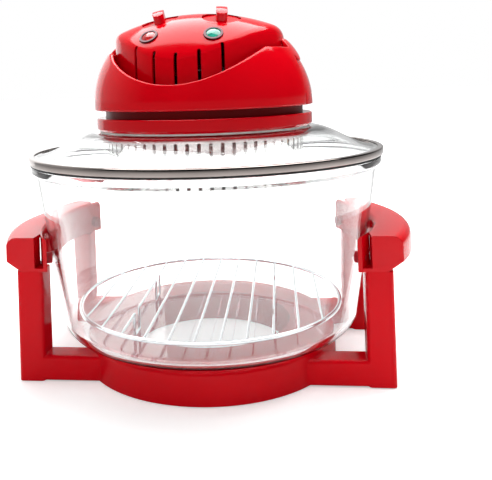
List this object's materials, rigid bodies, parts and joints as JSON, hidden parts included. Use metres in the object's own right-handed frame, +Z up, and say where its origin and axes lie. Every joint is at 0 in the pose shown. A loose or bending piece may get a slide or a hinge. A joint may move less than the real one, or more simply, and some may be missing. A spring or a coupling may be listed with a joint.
{
  "type": "halogen oven",
  "caption": "Countertop halogen oven: clear glass bowl on a red stand with side grips, lift-off glass lid, and a red domed power head with two dials and a swing-up handle.",
  "frame": {"origin": "centre of the bounding box's underside, on the table under the middle of the bowl", "axes": "+Z up, front towards -Y, side grips on -X and +X"},
  "size_m": [0.3784, 0.335, 0.3297],
  "materials": {
    "red_plastic": "polished moulded plastic",
    "stand_plastic": "polished moulded plastic",
    "dark_red_plastic": "moulded plastic, satin",
    "screw_steel": "turned and zinc plated",
    "black_rubber": "matt",
    "white_silicone": "matt silicone",
    "bowl_glass": "clear pressed glass",
    "lid_glass": "clear pressed glass",
    "chrome_wire": "plated wire",
    "rim_steel": "polished stainless band",
    "can_steel": "stainless sheet",
    "bright_pan": "bright sheet",
    "lamp_quartz": "quartz tube",
    "white_ceramic": "unglazed",
    "copper_brass": "plain",
    "red_lens": "translucent",
    "green_lens": "translucent",
    "bezel_chrome": "plated ring",
    "neon_glass": "small glass bulb",
    "white_plastic": "moulded",
    "black_plastic": "moulded",
    "lamination_steel": "stacked laminations",
    "coil_copper": "wound enamelled wire under tape"
  },
  "bodies": {
    "stand": {"stand_frame": "stand_plastic", "grip_left": "red_plastic", "grip_right": "red_plastic", "grip_screws": "screw_steel", "stand_feet": "black_rubber", "bowl_pads": "white_silicone"},
    "bowl": {"glass_bowl": "bowl_glass"},
    "rack": {"wire_rack": "chrome_wire"},
    "handle": {"carry_handle": "red_plastic"},
    "interlock": {"switch_plunger": "white_plastic"},
    "timer_dial": {"timer_knob": "red_plastic", "timer_spindle": "screw_steel"},
    "thermostat_dial": {"thermostat_knob": "red_plastic", "thermostat_spindle": "screw_steel"},
    "fan": {"hot_fan": "can_steel", "fan_shaft": "screw_steel", "motor_rotor": "lamination_steel", "cooling_fan": "black_plastic"},
    "lid": {"glass_lid": "lid_glass", "lid_rim_band": "rim_steel", "rim_seal": "black_rubber", "collar_ring": "red_plastic", "collar_gasket": "white_silicone", "guard_can": "can_steel", "can_grille": "can_steel", "can_screws": "screw_steel", "heat_shield": "can_steel", "reflector_pan": "bright_pan", "halogen_lamp": "lamp_quartz", "lamp_end_caps": "white_ceramic", "lamp_clips": "can_steel", "thermostat_probe": "copper_brass", "probe_clips": "can_steel", "head_base": "dark_red_plastic", "dome_screws": "screw_steel", "housing_screws": "screw_steel", "control_dome": "red_plastic", "rear_housing": "red_plastic", "power_lens": "red_lens", "heat_lens": "green_lens", "lens_bezels": "bezel_chrome", "neon_lamps": "neon_glass", "timer_unit": "white_plastic", "thermostat_unit": "black_plastic", "motor_stator": "lamination_steel", "motor_coil": "coil_copper", "motor_brackets": "can_steel", "motor_bushes": "copper_brass", "handle_pivots": "screw_steel", "safety_switch": "black_plastic", "terminal_block": "white_plastic", "power_inlet": "black_plastic", "inlet_pins": "copper_brass"}
  },
  "joints": [
    {"name": "bowl_lift", "type": "slide", "parent": "stand", "child": "bowl", "axis": [0, 0, 1], "range_m": [0, 0.12]},
    {"name": "rack_lift", "type": "slide", "parent": "bowl", "child": "rack", "axis": [0, 0, 1], "range_m": [0, 0.08]},
    {"name": "lid_lift", "type": "slide", "parent": "bowl", "child": "lid", "axis": [0, 0, 1], "range_m": [0, 0.1]},
    {"name": "handle_swing", "type": "hinge", "parent": "lid", "child": "handle", "pos_m": [-0.00177, -0.01187, 0.288], "axis": [-0.989, 0.1478, 0], "range_deg": [0, 90]},
    {"name": "interlock_press", "type": "slide", "parent": "lid", "child": "interlock", "axis": [0.1478, 0.989, 0], "range_m": [0, 0.0015], "stiffness_N_per_m": 400},
    {"name": "timer_turn", "type": "hinge", "parent": "lid", "child": "timer_dial", "pos_m": [-0.03479, -0.03322, 0.31956], "axis": [-0.1838, -0.2547, 0.9494], "range_deg": [-300, 0]},
    {"name": "thermostat_turn", "type": "hinge", "parent": "lid", "child": "thermostat_dial", "pos_m": [0.02356, -0.04194, 0.31956], "axis": [0.1013, -0.2973, 0.9494], "range_deg": [-270, 0]},
    {"name": "fan_spin", "type": "hinge", "parent": "lid", "child": "fan", "pos_m": [0, 0, 0.2042], "axis": [0, 0, 1], "continuous": true}
  ]
}
